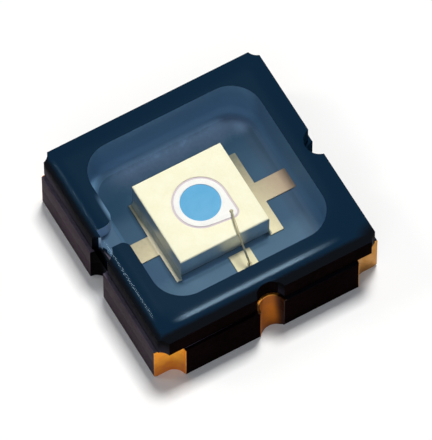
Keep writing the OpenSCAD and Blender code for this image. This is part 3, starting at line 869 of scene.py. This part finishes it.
def tube(points, d):
    curve = bpy.data.curves.new('tube', 'CURVE')
    curve.dimensions = '3D'
    curve.bevel_depth = d / 2
    curve.bevel_resolution = 4
    curve.use_fill_caps = True
    spline = curve.splines.new('POLY')
    spline.points.add(len(points) - 1)
    for point, co in zip(spline.points, points):
        point.co = (*co, 1)
    return curveMesh(curve, Matrix())


def turnedSolid(spot, bottom, d, height, profile, count=32):
    angles = [2 * math.pi * i / count for i in range(count)]
    rings = []
    for wide, high in profile:
        r = d / 2 * wide
        z = bottom + height * high
        rings.append([(spot.x + r * math.cos(a), spot.y + r * math.sin(a), z) for a in angles])
    return skinned(rings)


ball = turnedSolid(ballAt, metalTop, wire['ballD'], wire['ballH'], wire['ball'])
stitch = turnedSolid(stitchAt, padTop, wire['stitchD'], wire['stitchH'], wire['stitch'])
wireMesh = joined(ball, tube(wirePath(), wire['d']), stitch)
addPiece('bondWire', wireMesh, [wireGold], 'gold_plating', 'bond_wire')
print('wire made')

# Resin: cap over the rim with round shoulders, cavity fill, channel and left notch; the cap's rows of points
# close up towards its edge, where it bends most
resin = {'capH': nodeBox('encapsulant')[1][2] - carrier['rimZ'], 'shoulder': 0.32, 'bend': 4, 'sink': 0.006,
         'overflowZ': 0.66, 'gridMm': 0.045, 'firstRow': 0.006, 'rowStep': 0.007, 'rowGrowth': 0.001,
         'edgeRows': 15, 'flatFrom': 0.34, 'flatRows': 24, 'apart': 0.006, 'capTilt': 0.3}


# 0 on the flat of the cap, 1 at its edge
def overShoulder(place):
    inward = carrier['upperHalf'] - abs(place)
    return max(0.0, min(1.0, 1 - inward / resin['shoulder']))


def capHeight(x, y):
    riseX, riseY = [1 - overShoulder(place) ** resin['bend'] for place in (x, y)]
    return carrier['rimZ'] + resin['capH'] * riseX * riseY


# The gloss follows the true curve of the cap, not its facets
def capNormal(x, y):
    rises = []
    slopes = []
    for place in (x, y):
        t = overShoulder(place)
        rises.append(1 - t ** resin['bend'])
        slopes.append(math.copysign(resin['bend'] * t ** (resin['bend'] - 1) / resin['shoulder'], place))
    lean = (resin['capH'] * slopes[0] * rises[1], resin['capH'] * slopes[1] * rises[0])
    return Vector((*lean, 1)).normalized()


def insideLoop(x, y, loop):
    hit = False
    for (x0, y0), (x1, y1) in zip(loop, loop[1:] + loop[:1]):
        if (y0 > y) != (y1 > y) and x < x0 + (y - y0) * (x1 - x0) / (y1 - y0):
            hit = not hit
    return hit


def resinCap():
    corners = upperOutline(False)
    loop = []
    for (x0, y0), (x1, y1) in zip(corners, corners[1:] + corners[:1]):
        count = max(1, round(math.hypot(x1 - x0, y1 - y0) / resin['gridMm']))
        loop += [(x0 + (x1 - x0) * i / count, y0 + (y1 - y0) * i / count) for i in range(count)]
    edge = carrier['upperHalf']
    near = [resin['firstRow'] + resin['rowStep'] * k + resin['rowGrowth'] * k * k
            for k in range(resin['edgeRows'])] + [resin['flatFrom']]
    flat = edge - resin['flatFrom']
    rows = resin['flatRows']
    lines = [n - edge for n in near] + [-flat + 2 * flat * i / rows for i in range(1, rows)]
    lines += [edge - n for n in near[::-1]]
    keep = []
    for x in lines:
        for y in lines:
            clear = min(math.hypot(x - px, y - py) for px, py in loop)
            if clear > resin['apart'] and insideLoop(x, y, loop):
                keep.append((x, y))
    count = len(loop)
    points = [Vector(p) for p in loop + keep]
    verts, _, faces, _, _, _ = delaunay_2d_cdt(points, [], [list(range(count))], 1, 1e-6)
    work = bmesh.new()
    top = [work.verts.new((v.x, v.y, capHeight(v.x, v.y))) for v in verts]
    low = [work.verts.new((v.x, v.y, carrier['rimZ'] - resin['sink'])) for v in verts[:count]]
    for face in faces:
        work.faces.new([top[i] for i in face])
    for i in range(count):
        j = (i + 1) % count
        work.faces.new((low[i], low[j], top[j], top[i]))
    work.faces.new(low[::-1])
    return meshFrom(work)


# The fill sinks a little into the walls and the floor, so that no two faces coincide
sink = resin['sink']
fillTop = carrier['rimZ'] - sink / 2
fill = prism(cavityOutline(sink), carrier['floorZ'] - sink, fillTop)
channel = prism(channelOutline(sink), cavity['channelZ'] - sink, fillTop)
leftBite = [(x - carrier['notchY'], y - carrier['upperHalf'])
            for x, y in bite(half - carrier['upperHalf'], carrier['collarR'] + sink)]
overflow = prism(turned(leftBite, 3), resin['overflowZ'], fillTop)
resinMesh = resinCap()
for part in (fill, channel, overflow):
    resinMesh = combined(resinMesh, part, 'UNION')
potting = addPiece('pottingResin', resinMesh, [clearResin], 'clear_resin', 'encapsulant').data
cornerNormals = [None] * len(potting.loops)
for face in potting.polygons:
    onCap = face.normal.z > resin['capTilt'] and face.center.z > carrier['rimZ'] * mm
    for corner in face.loop_indices:
        spot = potting.vertices[potting.loops[corner].vertex_index].co / mm
        cornerNormals[corner] = capNormal(spot.x, spot.y) if onCap else face.normal.copy()
potting.normals_split_custom_set(cornerNormals)
print('resin made')

# White studio paper: matt, lifted to white where it is seen directly or mirrored; sizes here are in metres
studio = {'floorSize': 1.2, 'floorDrop': 2e-6, 'paper': '#fbfbfb', 'roughness': 0.9, 'gloss': 0.1,
          'lift': 0.05, 'lampAway': 0.3, 'air': '#dbe6f6', 'airStrength': 0.11}


def studioPaper():
    material, tree, _ = newMaterial('white studio paper')
    finish = {'Base Color': linear(studio['paper']), 'Roughness': studio['roughness'],
              'Specular IOR Level': studio['gloss']}
    shader = addNode(tree, 'BsdfPrincipled', finish)
    rays = addNode(tree, 'LightPath').outputs
    seen = rays['Is Camera Ray']
    for kind in ('Is Glossy Ray', 'Is Transmission Ray'):
        seen = addNode(tree, 'Math', links={0: seen, 1: rays[kind]}, operation='ADD')
    lift = addNode(tree, 'Math', {1: studio['lift']}, {0: seen}, operation='MULTIPLY')
    glow = addNode(tree, 'Emission', links={'Strength': lift})
    both = addNode(tree, 'AddShader', links={0: shader, 1: glow})
    return finished(material, tree, both)


floorMesh = bpy.data.meshes.new('floor')
floorCorners = [(x, y, -studio['floorDrop']) for x, y in square(studio['floorSize'], studio['floorSize'])]
floorMesh.from_pydata(floorCorners, [], [(0, 1, 2, 3)])
floorMesh.materials.append(studioPaper())
floor = bpy.data.objects.new('floor', floorMesh)
bpy.context.scene.collection.objects.link(floor)


# Stands a lamp or a camera at a place, with its right, up and back directions
def stand(thing, place, right, up, back):
    holder = bpy.data.objects.new(thing.name, thing)
    holder.matrix_world = Matrix.Translation(place) @ Matrix((right, up, back)).transposed().to_4x4()
    bpy.context.scene.collection.objects.link(holder)
    return holder


lamps = {
    'softTop': {'from': (0.2, 0.2, 0.959), 'size': (0.07, 0.06), 'radiance': 56.5, 'tint': '#fffefb'},
    'keyLeftRear': {'from': (-0.576, 0.408, 0.708), 'size': (0.07, 0.07), 'radiance': 5.6, 'tint': '#fffaf4'},
    'fillFrontLeft': {'from': (-0.35, -0.5, 0.79), 'size': (0.2, 0.2), 'radiance': 0.9, 'tint': '#f4f8ff'},
}
for name, lamp in lamps.items():
    light = bpy.data.lights.new(name, 'AREA')
    light.shape = 'RECTANGLE'
    light.size, light.size_y = lamp['size']
    light.energy = lamp['radiance'] * math.pi * light.size * light.size_y
    light.color = linear(lamp['tint'])[:3]
    towards = Vector(lamp['from']).normalized()
    across = (Vector((1, 0, 0)) - towards * towards.x).normalized()
    stand(light, towards * studio['lampAway'], across, towards.cross(across), towards)

world = bpy.data.worlds.new('studio')
world.use_nodes = True
world.node_tree.nodes.clear()
airGlow = {'Color': linear(studio['air']), 'Strength': studio['airStrength']}
air = addNode(world.node_tree, 'Background', airGlow)
addNode(world.node_tree, 'OutputWorld', links={'Surface': air})
bpy.context.scene.world = world

# Camera: degrees, metres and lens mm, with the aim in mm from the origin across the picture
view = {'azimuth': -29.66, 'elevation': 62.0, 'distance': 0.1, 'lens': 695.0, 'sensor': 36,
        'aimRight': 0.0813, 'aimUp': 0.152, 'clipStart': 0.001, 'clipEnd': 10}
azimuth = math.radians(view['azimuth'])
elevation = math.radians(view['elevation'])
back = Vector((math.sin(azimuth) * math.cos(elevation), -math.cos(azimuth) * math.cos(elevation),
               math.sin(elevation)))
right = Vector((math.cos(azimuth), math.sin(azimuth), 0))
up = back.cross(right)
aim = (right * view['aimRight'] + up * view['aimUp']) * mm
camera = bpy.data.cameras.new('camera')
camera.sensor_width = view['sensor']
camera.lens = view['lens']
camera.clip_start = view['clipStart']
camera.clip_end = view['clipEnd']
bpy.context.scene.camera = stand(camera, aim + back * view['distance'], right, up, back)
bpy.context.scene.view_settings.view_transform = 'Standard'
print('studio set')
